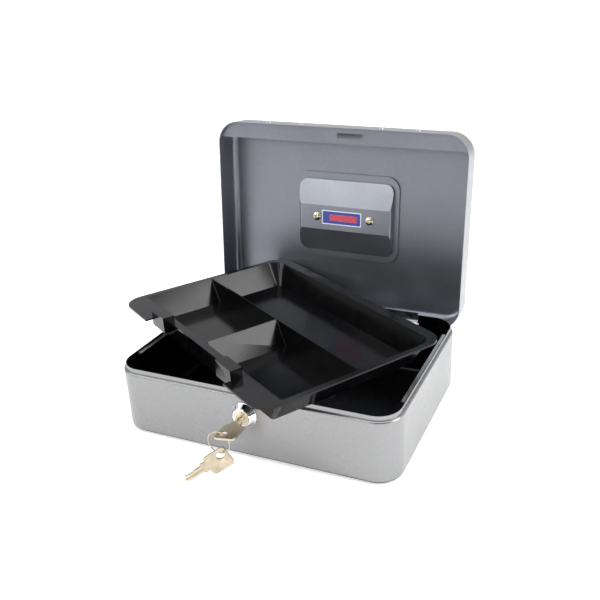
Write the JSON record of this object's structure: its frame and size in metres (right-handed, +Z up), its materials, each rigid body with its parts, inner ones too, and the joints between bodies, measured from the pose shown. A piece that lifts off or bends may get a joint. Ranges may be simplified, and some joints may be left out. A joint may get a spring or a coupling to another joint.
{
  "type": "cash box",
  "caption": "Pressed metal cash box standing open, with a black coin tray lying askew on it, a key and a spare key on a ring in the cam lock, and a wire handle on the lid",
  "frame": {"origin": "underside of the base at the middle of its width and depth", "axes": "+X right, +Y back towards the hinge, +Z up"},
  "size_m": [0.2868, 0.2788, 0.2283],
  "materials": {
    "box_lacquer": "satin silver lacquer",
    "zinc_steel": "zinc plated",
    "chrome": "polished",
    "nickel_brass": "brushed, pale",
    "wafer_brass": "plain",
    "tray_plastic": "glossy black",
    "label_pale": "printed film",
    "label_blue": "printed film",
    "label_red": "printed film"
  },
  "bodies": {
    "base": {"base_shell": "box_lacquer", "tray_ledge_left": "zinc_steel", "tray_ledge_right": "zinc_steel", "hinge_leaf_base": "zinc_steel", "hinge_pin": "zinc_steel", "hinge_rivets_base": "zinc_steel", "lock_body": "chrome", "lock_washer": "zinc_steel", "lock_nut": "zinc_steel"},
    "lid": {"lid_shell": "box_lacquer", "latch_rail": "box_lacquer", "rail_rivets": "zinc_steel", "hinge_leaf_lid": "zinc_steel", "hinge_rivets_lid": "zinc_steel", "handle_post_left": "chrome", "handle_post_right": "chrome", "handle_screw_left": "zinc_steel", "handle_screw_right": "zinc_steel", "label_sheet": "label_pale", "label_panel": "label_blue", "label_stripe": "label_red"},
    "handle": {"handle_bail": "chrome"},
    "plug": {"lock_plug": "nickel_brass", "lock_wafers": "wafer_brass", "lock_cam": "zinc_steel", "cam_washer": "zinc_steel", "cam_screw": "zinc_steel", "key_in_lock": "nickel_brass"},
    "ring": {"key_ring": "zinc_steel"},
    "spare": {"spare_key": "nickel_brass"},
    "tray": {"coin_tray": "tray_plastic"}
  },
  "joints": [
    {"name": "lid_hinge", "type": "hinge", "parent": "base", "child": "lid", "pos_m": [0, 0.0872, 0.05185], "axis": [1, 0, 0], "range_deg": [0, 95.77]},
    {"name": "tray_slide", "type": "slide", "parent": "base", "child": "tray", "axis": [0, -1, 0], "range_m": [0, 0.26]},
    {"name": "key_turn", "type": "hinge", "parent": "base", "child": "plug", "pos_m": [-0.0015, -0.09, 0.0406], "axis": [0, -1, 0], "range_deg": [0, 82]},
    {"name": "key_ring_swing", "type": "hinge", "parent": "plug", "child": "ring", "pos_m": [-0.00799, -0.1208, 0.03969], "axis": [0, -1, 0], "range_deg": [-82, 0]},
    {"name": "spare_key_swing", "type": "hinge", "parent": "ring", "child": "spare", "pos_m": [-0.00799, -0.1208, 0.02079], "axis": [-0.5878, 0.809, 0], "range_deg": [0, 25]},
    {"name": "handle_swing", "type": "hinge", "parent": "lid", "child": "handle", "pos_m": [0, 0.12564, 0.13732], "axis": [1, 0, 0], "range_deg": [0, 168]}
  ],
  "couplings": [
    {"joint": "tray_slide", "follows": "lid_hinge", "m_per_rad": 0.15},
    {"joint": "key_ring_swing", "follows": "key_turn", "ratio": -1},
    {"joint": "spare_key_swing", "follows": "key_turn", "ratio": 0.29}
  ]
}
